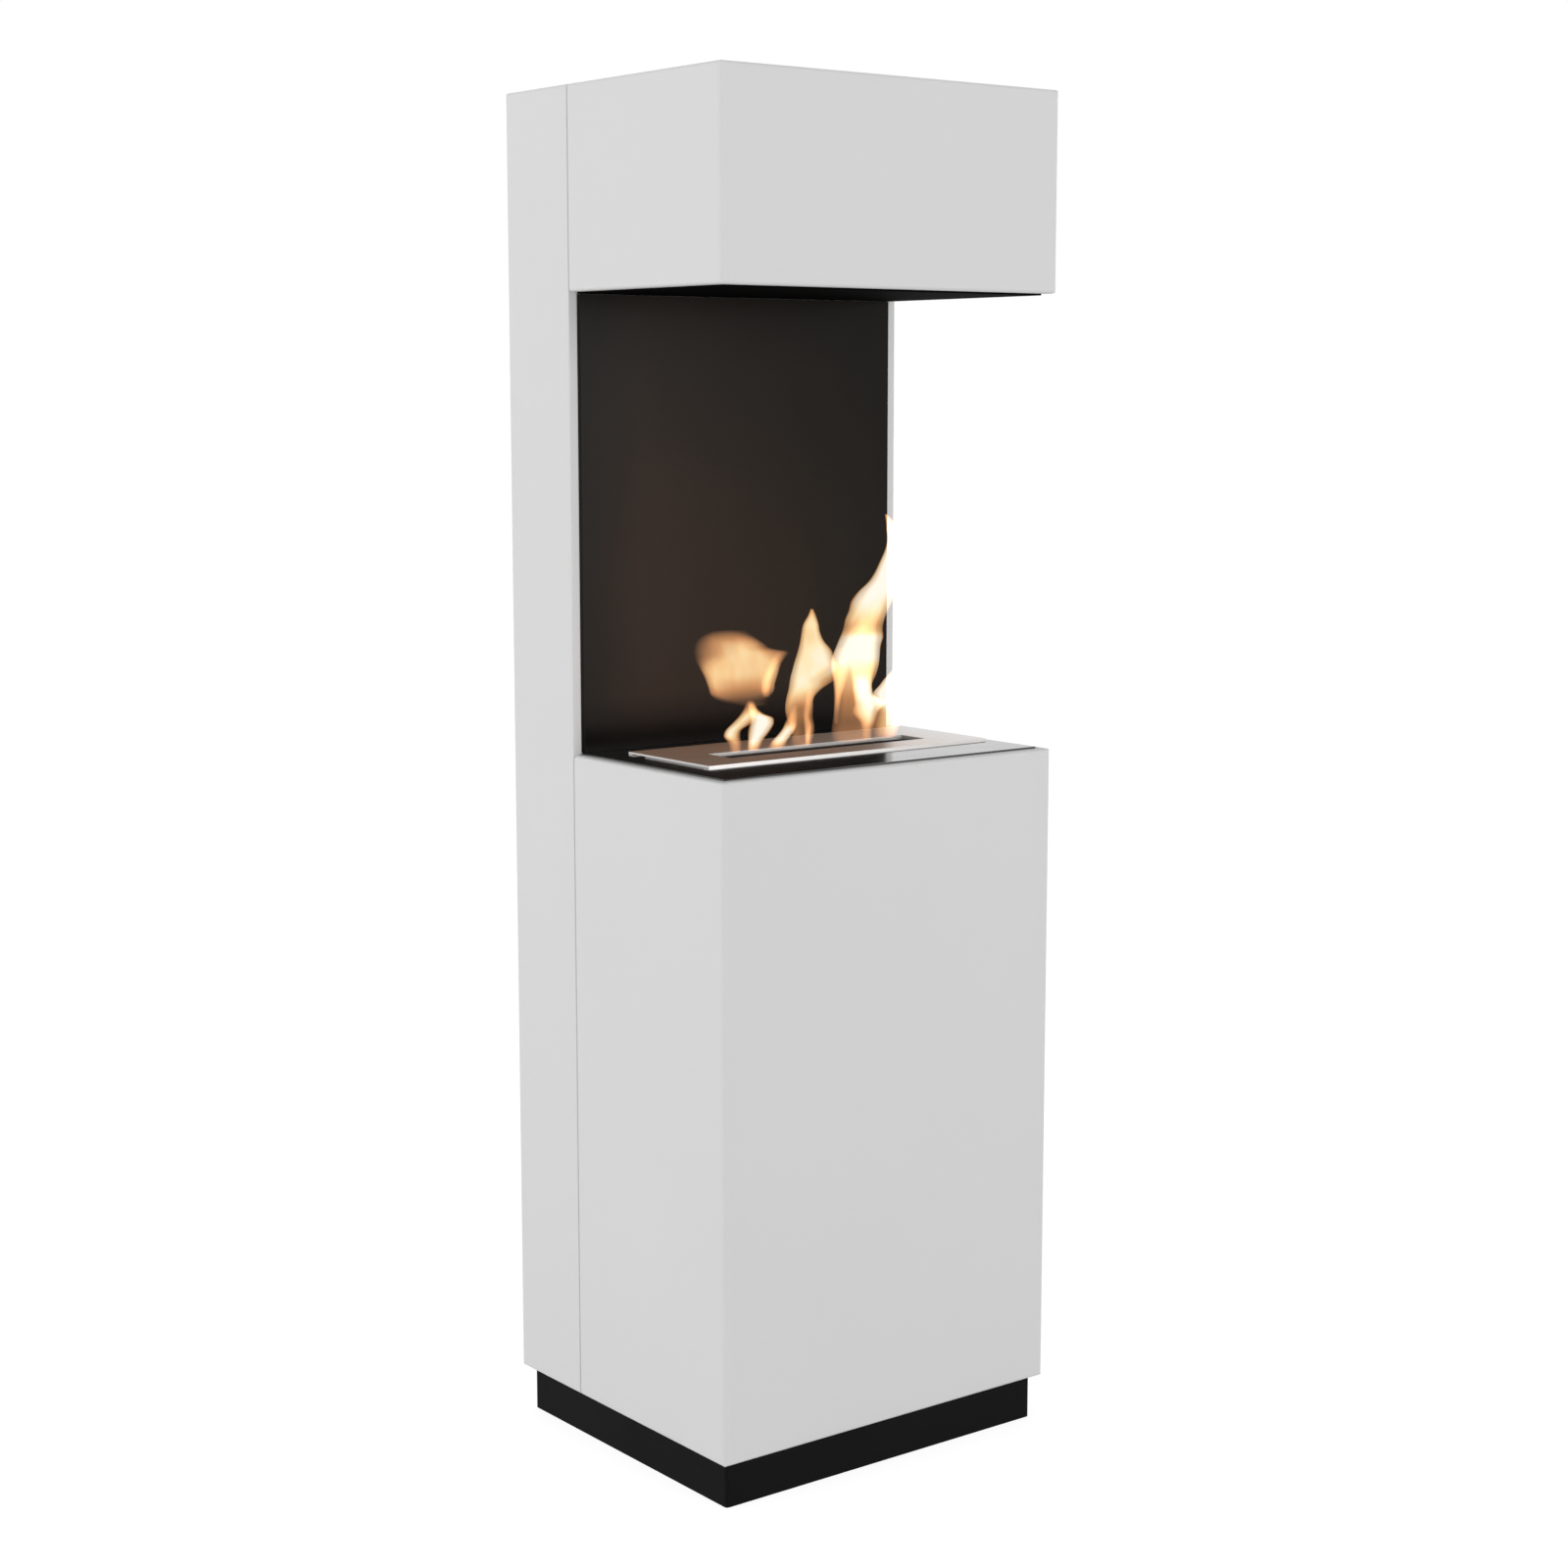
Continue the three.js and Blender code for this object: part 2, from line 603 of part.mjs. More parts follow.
function ceramicWoolPad() {
  return alongZ(wellOutline(GAP), [TANK_BOTTOM + TANK_WALL, sheetTop - WOOL_SHEET]);
}

// Closing slide

const slideBottom = LID_TOP + GUIDE_SHEET + GAP;
const slideX = centred(0, MOUTH_LENGTH + 2 * SLIDER_SIDE_RUN);
const slideY = [
  MOUTH_Y - MOUTH_BREADTH / 2 - SLIDER_OVERLAP + SLIDER_TRAVEL,
  MOUTH_Y + MOUTH_BREADTH / 2 + SLIDER_OVERLAP + SLIDER_TRAVEL,
];

function closingSlider() {
  const sheet = block(slideX, slideY, [slideBottom, slideBottom + SLIDER]);
  const tab = block(
    centred(0, MOUTH_LENGTH),
    [slideY[0], slideY[0] + SLIDER],
    [slideBottom, slideBottom + SLIDER + TAB_HEIGHT],
  );
  return union([sheet, tab]);
}

// Channel open towards the middle, with the slide's end running in it
function sliderGuide(side) {
  const outer = side * (slideX[1] + GAP + GUIDE_SHEET);
  const inner = outer - side * GUIDE_BREADTH;
  const top = slideBottom + SLIDER + GAP + GUIDE_SHEET;
  const ys = [slideY[0] - SLIDER_TRAVEL - GAP, Math.min(slideY[1], wellY[1] - 2 * GAP)];
  const bar = block([Math.min(outer, inner), Math.max(outer, inner)], ys, [LID_TOP, top]);
  const run = side * (slideX[1] + GAP);
  const past = inner - side;
  const channel = block(
    [Math.min(run, past), Math.max(run, past)],
    grown(ys, 1),
    [LID_TOP + GUIDE_SHEET, top - GUIDE_SHEET],
  );
  return bar.subtract(channel);
}

function burnerCoverPlate() {
  const xs = centred(0, COVER_LENGTH);
  const ys = centred(BURNER_Y, COVER_BREADTH);
  const slotX = centred(0, SLOT_LENGTH);
  const slotY = centred(MOUTH_Y, SLOT_BREADTH);
  const under = COVER_TOP - COVER_SHEET;
  const top = block(xs, ys, [under, COVER_TOP]);
  const lips = [-1, 1].map((side) => coverLip(side, xs));
  const edge = block(grown(slotX, SLOT_EDGE), grown(slotY, SLOT_EDGE), [
    COVER_TOP - SLOT_EDGE_DEPTH,
    COVER_TOP - COVER_SHEET / 2,
  ]);
  const slot = block(slotX, slotY, [COVER_BOTTOM - 1, COVER_TOP + 1]);
  return union([top, ...lips, edge]).subtract(slot);
}

// Long side of the cover plate: turned down, then back under itself
function coverLip(side, xs) {
  const outer = BURNER_Y + (side * COVER_BREADTH) / 2;
  const wall = outer - side * COVER_SHEET;
  const end = outer - side * COVER_RETURN;
  const down = block(xs, [Math.min(outer, wall), Math.max(outer, wall)], [COVER_BOTTOM, COVER_TOP]);
  const back = block(
    xs,
    [Math.min(outer, end), Math.max(outer, end)],
    [COVER_BOTTOM, COVER_BOTTOM + COVER_RETURN_SHEET],
  );
  return union([down, back]);
}

// Fasteners

function columnBolt(at) {
  const inside = COLUMN_FRONT + SHEET;
  const head = levelPrism(hexagon(BOLT_HEAD_FLATS), at, [inside, inside + BOLT_HEAD]);
  const tip = BOX_BACK - SHEET - BOLT_GRIP;
  const shank = levelPrism(circle(BOLT_RADIUS), at, [tip, inside + BOLT_HEAD / 2]);
  return union([head, shank]);
}

function plinthBolt(at, gripTop) {
  const seat = PLINTH_HEIGHT - PLINTH_WALL;
  const head = uprightPrism(hexagon(BOLT_HEAD_FLATS), at, [seat - BOLT_HEAD, seat]);
  const shank = uprightPrism(circle(BOLT_RADIUS), at, [seat - BOLT_HEAD / 2, gripTop]);
  return union([head, shank]);
}

function nut(at, [z0, z1]) {
  const bore = uprightPrism(circle(STUD_RADIUS + GAP), at, grown([z0, z1], 1));
  return uprightPrism(hexagon(NUT_FLATS), at, [z0, z1]).subtract(bore);
}

function panelNut(at) {
  const inside = COLUMN_FRONT + SHEET;
  const bore = levelPrism(circle(STUD_RADIUS + GAP), at, grown([inside, inside + NUT_HEIGHT], 1));
  return levelPrism(hexagon(NUT_FLATS), at, [inside, inside + NUT_HEIGHT]).subtract(bore);
}

function backCoverScrew(at) {
  const face = BACK - BACK_RECESS + SHEET;
  const head = levelPrism(circle(SCREW_HEAD_RADIUS, SCREW_HEAD_STEPS), at, [face, face + SCREW_HEAD]);
  const shank = levelPrism(circle(SCREW_RADIUS), at, [face - SCREW_LENGTH, face + SCREW_HEAD / 2]);
  return union([head, shank]);
}

// Materials

function paint(colour, roughness, metalness) {
  return new THREE.MeshStandardMaterial({ color: colour, roughness, metalness });
}

const whitePaint = () => paint(0xe9e8e6, 0.55, 0.0);
const blackPaint = () => paint(0x1c1a19, 0.5, 0.0);
const glossBlack = () => paint(0x0b0a0a, 0.15, 0.0);
const darkPanel = () => paint(0x2a2523, 0.35, 0.0);
const stainless = () => paint(0xc6c4c0, 0.3, 1.0);
const galvanised = () => paint(0xa9adb0, 0.5, 1.0);
const wool = () => paint(0xe6e2d6, 0.95, 0.0);

const fireplace = new THREE.Group();

function addPiece(name, solid, material) {
  const piece = new THREE.Mesh(geometryOf(solid), material);
  piece.name = name;
  fireplace.add(piece);
}

function addSet(name, places, make, material) {
  places.forEach((at, index) => addPiece(`${name}_${index + 1}`, make(at), material()));
}

addPiece("rear_column", rearColumn(), whitePaint());
addPiece("column_back_frame", columnBackFrame(), whitePaint());
addPiece("back_cover", backCover(), whitePaint());
addPiece("cabinet_shell", cabinetShell(), whitePaint());
addPiece("hood_shell", hoodShell(), whitePaint());
addPiece("deck_plate", deckPlate(), glossBlack());
addPiece("ceiling_plate", ceilingPlate(), glossBlack());
addPiece("fire_back_panel", fireBackPanel(), darkPanel());
addPiece("plinth_frame", plinthFrame(), blackPaint());
addPiece("base_plate", basePlate(), galvanised());
addPiece("burner_tank", burnerTank(), stainless());
addPiece("tank_lid", tankLid(), stainless());
addPiece("wool_cover_sheet", woolCoverSheet(), stainless());
addPiece("ceramic_wool_pad", ceramicWoolPad(), wool());
addPiece("slider_guide_left", sliderGuide(-1), stainless());
addPiece("slider_guide_right", sliderGuide(1), stainless());
addPiece("closing_slider", closingSlider(), stainless());
addPiece("burner_cover_plate", burnerCoverPlate(), stainless());
addSet("levelling_foot", footPlaces, levellingFoot, galvanised);
addSet("cabinet_bolt", cabinetBolts, columnBolt, galvanised);
addSet("hood_bolt", hoodBolts, columnBolt, galvanised);
addSet("back_cover_screw", backScrews, backCoverScrew, galvanised);
addSet("panel_nut", panelStuds, panelNut, galvanised);
addSet(
  "deck_nut",
  boxFixings,
  (at) => nut(at, [CABINET_TOP - SHEET - NUT_HEIGHT, CABINET_TOP - SHEET]),
  galvanised,
);
addSet(
  "ceiling_nut",
  boxFixings,
  (at) => nut(at, [HOOD_BOTTOM + SHEET, HOOD_BOTTOM + SHEET + NUT_HEIGHT]),
  galvanised,
);
addSet(
  "plinth_bolt",
  [...boxFixings, ...columnFixings],
  (at) => {
    const floor = PLINTH_HEIGHT + SHEET + (at[1] < BOX_BACK ? BASE_PLATE : 0);
    return plinthBolt(at, floor + BOLT_GRIP);
  },
  galvanised,
);

export default fireplace;
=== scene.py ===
# Bioethanol fireplace: the looks. Metres, +Z up, front towards -Y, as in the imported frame.
import math

import bpy
import numpy as np
from mathutils import Euler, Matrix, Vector


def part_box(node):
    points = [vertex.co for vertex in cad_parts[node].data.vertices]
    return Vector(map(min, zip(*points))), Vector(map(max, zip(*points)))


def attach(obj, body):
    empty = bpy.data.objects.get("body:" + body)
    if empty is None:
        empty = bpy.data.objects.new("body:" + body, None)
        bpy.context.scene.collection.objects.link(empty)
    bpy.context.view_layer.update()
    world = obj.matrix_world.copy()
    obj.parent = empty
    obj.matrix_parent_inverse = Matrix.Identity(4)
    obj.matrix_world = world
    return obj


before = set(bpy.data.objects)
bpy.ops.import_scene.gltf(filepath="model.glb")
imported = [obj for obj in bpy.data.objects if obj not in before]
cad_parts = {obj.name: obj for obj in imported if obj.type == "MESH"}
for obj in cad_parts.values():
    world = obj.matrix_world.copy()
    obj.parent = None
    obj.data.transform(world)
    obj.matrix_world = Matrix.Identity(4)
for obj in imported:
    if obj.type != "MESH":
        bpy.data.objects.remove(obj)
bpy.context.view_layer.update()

MM = 0.001

# Camera, solved from the photograph's edges: angles in degrees, lens in millimetres
CAMERA_PLACE = (-1.4363, -1.8620, 0.9018)
CAMERA_PITCH = 8.12
CAMERA_YAW = 37.705
CAMERA_REACH = 100.0
FOCAL_LENGTH = 63.07
SENSOR = 36.0

# Studio: two softboxes (place and power) level with the hearth, an even world and a pale floor
SOFTBOX_SIZE = 4.2
SOFTBOX_TARGET = (0.0, 0.0, 0.6)
LEFT_SOFTBOX = ((-5.05, 1.3, 0.6), 171.0)
FRONT_SOFTBOX = ((1.5, -5.55, 0.6), 173.0)
WORLD_LIGHT = 0.66
FLOOR_REACH = 40.0
FLOOR_COLOUR = (0.86, 0.86, 0.86)
FLOOR_GLOW = 1.25
FLOOR_GLOW_SHARE = 0.70

# Colours, linear
WHITE_PAINT = (0.724, 0.724, 0.724)
BLACK_PAINT = (0.0072, 0.0071, 0.0070)
GLOSS_BLACK = (0.0022, 0.0021, 0.0020)
# The back panel's colour in painted shade, then its own warm brown
PANEL_PAINTED_SHADE = (0.0100, 0.0094, 0.0074)
PANEL_WARM = (0.0332, 0.0200, 0.0134)
STAINLESS = (0.74, 0.72, 0.70)
# The burner cover's painted brown sheen
SHEEN_BROWN = (0.66, 0.42, 0.30)
ZINC = (0.50, 0.51, 0.53)
WOOL = (0.80, 0.77, 0.70)
FLAME_SMOKE = (0.190, 0.090, 0.042)
FLAME_AMBER = (0.520, 0.230, 0.085)
FLAME_ORANGE = (0.710, 0.360, 0.155)
FLAME_GOLD = (0.900, 0.565, 0.255)
FLAME_YELLOW = (0.985, 0.815, 0.480)
FLAME_WHITE = (0.995, 0.955, 0.830)
FLAME_SIDE_STRENGTH = 0.5

# Back panel, in metres from its lower left corner: where its warm brown is full, before painted
# shade darkens it towards the right and the top; how wide the painted shade along its left edge
# is;
# and the heights between which the painted shade along its bottom fades
PAINTED_LIGHT_FULL_ACROSS = 0.08
PAINTED_LIGHT_FULL_UP = 0.17
SHADED_EDGE = 0.06
BOTTOM_SHADE_FROM = 0.008
BOTTOM_SHADE_TO = 0.045

# Steel: metallic when clean and under its painted sheen, and the stretch of its brush marks along
# X
STEEL_METALLIC = 0.78
SHEEN_METALLIC = 0.45
BRUSHING = (6.0, 1500.0, 1500.0)

# Burner cover, in metres: its painted brown sheen is full up to here from its left end and gone
# this far before its right end, and its lips have a painted shadow along their foot of this
# height and shade
SHEEN_FULL_ACROSS = 0.12
SHEEN_STOPS_BEFORE = 0.01
LIP_SHADOW_HEIGHT = 0.0012
LIP_SHADOW_FACTOR = 0.04

# Where the values of a noise mostly lie
NOISE_RANGE = (0.3, 0.7)

scene = bpy.context.scene
scene.view_settings.view_transform = "Standard"


# Small helpers for node trees

def new_material(name):
    material = bpy.data.materials.new(name)
    material.use_nodes = True
    tree = material.node_tree
    tree.nodes.clear()
    return material, tree


def add(tree, kind, **settings):
    node = tree.nodes.new(kind)
    for key, value in settings.items():
        setattr(node, key, value)
    return node


def fill(tree, socket, value):
    """Gives an input a link from another socket, or a plain value."""
    if isinstance(value, bpy.types.NodeSocket):
        tree.links.new(value, socket)
    else:
        socket.default_value = value


def feed(tree, node, **inputs):
    """Fills a node's inputs by name, with _ for a space."""
    for name, value in inputs.items():
        fill(tree, node.inputs[name.replace("_", " ")], value)


def put_out(tree, shader, kind="ShaderNodeOutputMaterial"):
    tree.links.new(shader.outputs[0], add(tree, kind).inputs["Surface"])


def new_surface(name):
    """A material with one Principled shader."""
    material, tree = new_material(name)
    shader = add(tree, "ShaderNodeBsdfPrincipled")
    put_out(tree, shader)
    return material, tree, shader


def object_coordinates(tree, scale=(1, 1, 1)):
    mapping = add(tree, "ShaderNodeMapping")
    feed(tree, mapping, Vector=add(tree, "ShaderNodeTexCoord").outputs["Object"], Scale=scale)
    return mapping.outputs["Vector"]


def separate(tree, vector):
    node = add(tree, "ShaderNodeSeparateXYZ")
    feed(tree, node, Vector=vector)
    return node.outputs


def noise(tree, vector, scale, detail=3.0, roughness=0.5):
    node = add(tree, "ShaderNodeTexNoise")
    feed(tree, node, Vector=vector, Scale=scale, Detail=detail, Roughness=roughness)
    return node.outputs["Fac"]


def remap(tree, value, low, high, from_low=0.0, from_high=1.0):
    node = add(tree, "ShaderNodeMapRange")
    feed(tree, node, Value=value, From_Min=from_low, From_Max=from_high, To_Min=low, To_Max=high)
    return node.outputs["Result"]


def remap_noise(tree, value, low, high):
    return remap(tree, value, low, high, *NOISE_RANGE)


def calculate(tree, operation, first, second):
    node = add(tree, "ShaderNodeMath", operation=operation)
    fill(tree, node.inputs[0], first)
    fill(tree, node.inputs[1], second)
    return node.outputs[0]


def product(tree, first, *others):
    for other in others:
        first = calculate(tree, "MULTIPLY", first, other)
    return first


def shade(colour, factor):
    return tuple(channel * factor for channel in colour)


def ramp(tree, value, stops):
    node = add(tree, "ShaderNodeValToRGB")
    elements = node.color_ramp.elements
    elements[0].position = stops[0][0]
    elements[1].position = stops[-1][0]
    for position, _ in stops[1:-1]:
        elements.new(position)
    for element, (_, colour) in zip(elements, stops):
        element.color = (*colour, 1.0)
    feed(tree, node, Fac=value)
    return node.outputs["Color"]


def tones(tree, value, colour, dark, light, stops=NOISE_RANGE):
    """The colour times dark at the first stop, up to the colour times light at the second."""
    return ramp(tree, value, [(stops[0], shade(colour, dark)), (stops[1], shade(colour, light))])


def darken(tree, colour, factor):
    node = add(tree, "ShaderNodeMix", data_type="RGBA", blend_type="MULTIPLY")
    feed(tree, node, Factor=1.0, A=colour, B=factor)
    return node.outputs["Result"]


def bump(tree, height, distance, strength):
    node = add(tree, "ShaderNodeBump")
    feed(tree, node, Height=height, Distance=distance, Strength=strength)
    return node.outputs["Normal"]


def mix_shaders(tree, factor, first, second):
    mixed = add(tree, "ShaderNodeMixShader")
    tree.links.new(factor, mixed.inputs[0])
    tree.links.new(first.outputs[0], mixed.inputs[1])
    tree.links.new(second.outputs[0], mixed.inputs[2])
    return mixed


def background_rays(tree):
    """1 for a ray that shows the background: seen, mirrored or through glass."""
    path = add(tree, "ShaderNodeLightPath")
    seen, mirrored = path.outputs["Is Camera Ray"], path.outputs["Is Glossy Ray"]
    direct = calculate(tree, "MAXIMUM", seen, mirrored)
    return calculate(tree, "MAXIMUM", direct, path.outputs["Is Transmission Ray"])


# Materials

def powder_coat(name, colour, roughness, cloudiness, specular):
    """Sprayed powder coat: fine orange peel, a faint cloudiness, uneven gloss."""
    material, tree, shader = new_surface(name)
    where = object_coordinates(tree)
    clouds = noise(tree, where, scale=6.0, detail=4.0)
    gloss = noise(tree, where, scale=35.0, detail=2.0)
    peel = noise(tree, where, scale=700.0, detail=2.0, roughness=0.45)
    feed(
        tree, shader,
        Base_Color=tones(tree, clouds, colour, dark=1.0 - cloudiness, light=1.0 + cloudiness),
        Roughness=remap(tree, gloss, roughness - 0.04, roughness + 0.05),
        Normal=bump(tree, peel, distance=0.00003, strength=0.35),
        Specular_IOR_Level=specular,
    )
    return material


def gloss_lacquer(name, colour, roughness, ior):
    """Glossy stoved lacquer under a clear coat, slightly wavy and smeared."""
    material, tree, shader = new_surface(name)
    where = object_coordinates(tree)
    clouds = noise(tree, where, scale=9.0)
    across = object_coordinates(tree, (1.0, 3.0, 1.0))
    smears = noise(tree, across, scale=22.0, detail=4.0, roughness=0.6)
    waves = noise(tree, where, scale=40.0, detail=1.0)
    feed(
        tree, shader,
        Base_Color=tones(tree, clouds, colour, dark=0.85, light=1.3, stops=(0.3, 0.75)),
        Roughness=remap_noise(tree, smears, roughness - 0.03, roughness + 0.04),
        Normal=bump(tree, waves, distance=0.00002, strength=0.25),
        IOR=ior,
        Coat_Weight=0.6,
        Coat_Roughness=0.16,
    )
    return material


def panel_lacquer(name):
    """Heat-proof lacquer of the back panel: warm brown, with painted shade towards the right, the
    top, its left edge and its bottom by the burner.
    """
    material, tree, shader = new_surface(name)
    where = object_coordinates(tree)
    place = separate(tree, where)
    low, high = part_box("fire_back_panel")
    # Painted shade: the warm brown darkens towards the right, along the left edge and towards the
    # top
    across = remap(tree, place["X"], 1.0, 0.15, low.x + PAINTED_LIGHT_FULL_ACROSS, high.x)
    edge = remap(tree, place["X"], 0.2, 1.0, low.x, low.x + SHADED_EDGE)
    rising = remap(tree, place["Z"], 1.0, 0.3, low.z + PAINTED_LIGHT_FULL_UP, high.z)
    clouds = remap_noise(tree, noise(tree, where, scale=14.0, detail=4.0), 0.93, 1.07)
    painted_light_and_clouds = product(tree, across, edge, rising, clouds)
    warm = ramp(tree, painted_light_and_clouds, [(0.0, PANEL_PAINTED_SHADE), (1.0, PANEL_WARM)])
    # Painted shade along the bottom, by the burner
    painted_bottom_shade = remap(tree, place["Z"], 0.15, 1.0, low.z + BOTTOM_SHADE_FROM, low.z + BOTTOM_SHADE_TO)
    upright = object_coordinates(tree, (1.0, 1.0, 0.6))
    haze = noise(tree, upright, scale=18.0, detail=2.0)
    grain = noise(tree, where, scale=900.0, detail=2.0)
    feed(
        tree, shader,
        Base_Color=darken(tree, warm, painted_bottom_shade),
        Roughness=remap_noise(tree, haze, 0.20, 0.25),
        Normal=bump(tree, grain, distance=0.00001, strength=0.1),
        Specular_IOR_Level=0.06,
    )
    return material


def painted_sheen(tree, steel_colour, sheen_colour):
    """The cover's colour and metallic under a painted brown sheen, a painted reflection full on
    top and to the left, with a painted shadow at the foot of its lips.
    """
    where = object_coordinates(tree)
    place = separate(tree, where)
    facing = separate(tree, add(tree, "ShaderNodeNewGeometry").outputs["Normal"])
    low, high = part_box("burner_cover_plate")
    fades_from, fades_to = low.x + SHEEN_FULL_ACROSS, high.x - SHEEN_STOPS_BEFORE
    fading = remap(tree, place["X"], 1.0, 0.0, fades_from, fades_to)
    patches = remap_noise(tree, noise(tree, where, scale=24.0), 0.85, 1.1)
    upward = remap(tree, facing["Z"], 0.0, 1.0, 0.45, 1.0)
    # Painted reflection: a brown sheen, full on faces turned up and towards the cover's left end
    sheen_share = product(tree, fading, patches, upward)
    sheened = add(tree, "ShaderNodeMix", data_type="RGBA")
    feed(tree, sheened, Factor=sheen_share, A=steel_colour, B=(*sheen_colour, 1.0))
    # Painted shadow along the foot of the lips, where they meet the deck
    foot = remap(tree, place["Z"], LIP_SHADOW_FACTOR, 1.0, low.z, low.z + LIP_SHADOW_HEIGHT)
    metallic = remap(tree, sheen_share, STEEL_METALLIC, SHEEN_METALLIC)
    return darken(tree, sheened.outputs["Result"], foot), metallic


def brushed_steel(name, colour, roughness, sheen_colour=None):
    """Stainless steel brushed along X, with a painted brown sheen and painted lip shadow where a
    sheen colour is given.
    """
    material, tree, shader = new_surface(name)
    brushed = object_coordinates(tree, BRUSHING)
    scratches = noise(tree, brushed, scale=1.0, detail=4.0, roughness=0.6)
    steel_colour = tones(tree, scratches, colour, dark=0.90, light=1.06, stops=(0.25, 0.75))
    metallic = STEEL_METALLIC
    if sheen_colour is not None:
        steel_colour, metallic = painted_sheen(tree, steel_colour, sheen_colour)
    feed(
        tree, shader,
        Base_Color=steel_colour,
        Metallic=metallic,
        Roughness=remap_noise(tree, scratches, roughness - 0.05, roughness + 0.07),
        Normal=bump(tree, scratches, distance=0.00001, strength=0.25),
    )
    return material


def zinc_plate(name):
    """Zinc-plated fasteners and feet: cloudy grey metal with small spangles."""
    material, tree, shader = new_surface(name)
    where = object_coordinates(tree)
    cells = add(tree, "ShaderNodeTexVoronoi")
    feed(tree, cells, Vector=where, Scale=420.0)
    spangles = remap(tree, cells.outputs["Distance"], 0.0, 1.0, 0.0, 0.8)
    feed(
        tree, shader,
        Base_Color=tones(tree, spangles, ZINC, dark=0.85, light=1.12, stops=(0.1, 0.9)),
        Roughness=remap(tree, noise(tree, where, scale=160.0), 0.34, 0.52),
        Metallic=1.0,
    )
    return material


def ceramic_wool(name):
    """Matted white ceramic fibre, scorched a little."""
    material, tree, shader = new_surface(name)
    where = object_coordinates(tree, (1.0, 1.0, 2.0))
    fibres = noise(tree, where, scale=420.0, detail=6.0, roughness=0.65)
    scorch = noise(tree, where, scale=30.0)
    scorched = [(0.30, shade(WOOL, 0.70)), (0.55, WOOL), (0.80, shade(WOOL, 1.08))]
    feed(
        tree, shader,
        Base_Color=ramp(tree, scorch, scorched),
        Normal=bump(tree, fibres, distance=0.0009, strength=0.9),
        Roughness=0.95,
    )
    return material


def flame_gas(name):
    """Burning gas adds its light to what is behind it. Its front and back share the light."""
    material, tree = new_material(name)
    warmth = add(tree, "ShaderNodeAttribute", attribute_name="warmth").outputs["Fac"]
    upright = object_coordinates(tree, (1.0, 0.5, 0.5))
    licks = noise(tree, upright, scale=42.0, detail=2.0, roughness=0.45)
    full_inside = remap(tree, warmth, 0.0, 1.0, 0.0, 0.5)
    unevenness = product(tree, remap(tree, licks, -0.20, 0.16, 0.25, 0.75), full_inside)
    colour = ramp(tree, calculate(tree, "ADD", warmth, unevenness), [
        (0.00, (0.0, 0.0, 0.0)),
        (0.08, FLAME_SMOKE),
        (0.24, FLAME_AMBER),
        (0.38, FLAME_ORANGE),
        (0.58, FLAME_GOLD),
        (0.78, FLAME_YELLOW),
        (0.95, FLAME_WHITE),
    ])
    clear = add(tree, "ShaderNodeBsdfTransparent")
    glow = add(tree, "ShaderNodeEmission")
    feed(tree, glow, Color=colour, Strength=FLAME_SIDE_STRENGTH)
    gas_shader = add(tree, "ShaderNodeAddShader")
    tree.links.new(clear.outputs[0], gas_shader.inputs[0])
    tree.links.new(glow.outputs[0], gas_shader.inputs[1])
    put_out(tree, gas_shader)
    return material


white = powder_coat("white powder coat", WHITE_PAINT, 0.45, cloudiness=0.006, specular=0.18)
black = powder_coat("black powder coat", BLACK_PAINT, 0.6, cloudiness=0.15, specular=0.035)
black_matt = powder_coat("black ceiling coat", GLOSS_BLACK, 0.8, cloudiness=0.2, specular=0.01)
glossy = gloss_lacquer("glossy black lacquer", GLOSS_BLACK, 0.16, ior=1.45)
panel = panel_lacquer("dark panel lacquer")
steel = brushed_steel("brushed stainless steel", STAINLESS, 0.30, sheen_colour=SHEEN_BROWN)
# Stainless darkened to 0.55 for the burner's insides: painted shade, as seen down the slot
shaded_steel = brushed_steel("pressed stainless steel", shade(STAINLESS, 0.55), 0.38)
zinc = zinc_plate("zinc plate")
wool = ceramic_wool("ceramic wool")

# The pieces that aren't named here are zinc-plated fasteners and feet
NODE_MATERIALS = {
    "rear_column": white,
    "column_back_frame": white,
    "back_cover": white,
    "cabinet_shell": white,
    "hood_shell": white,
    "deck_plate": glossy,
    "ceiling_plate": black_matt,
    "fire_back_panel": panel,
    "plinth_frame": black,
    "base_plate": zinc,
    "burner_tank": shaded_steel,
    "tank_lid": shaded_steel,
    "wool_cover_sheet": shaded_steel,
    "ceramic_wool_pad": wool,
    "slider_guide_left": shaded_steel,
    "slider_guide_right": shaded_steel,
    "closing_slider": steel,
    "burner_cover_plate": steel,
}
for node_name, node_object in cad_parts.items():
    node_object.data.materials.clear()
    node_object.data.materials.append(NODE_MATERIALS.get(node_name, zinc))


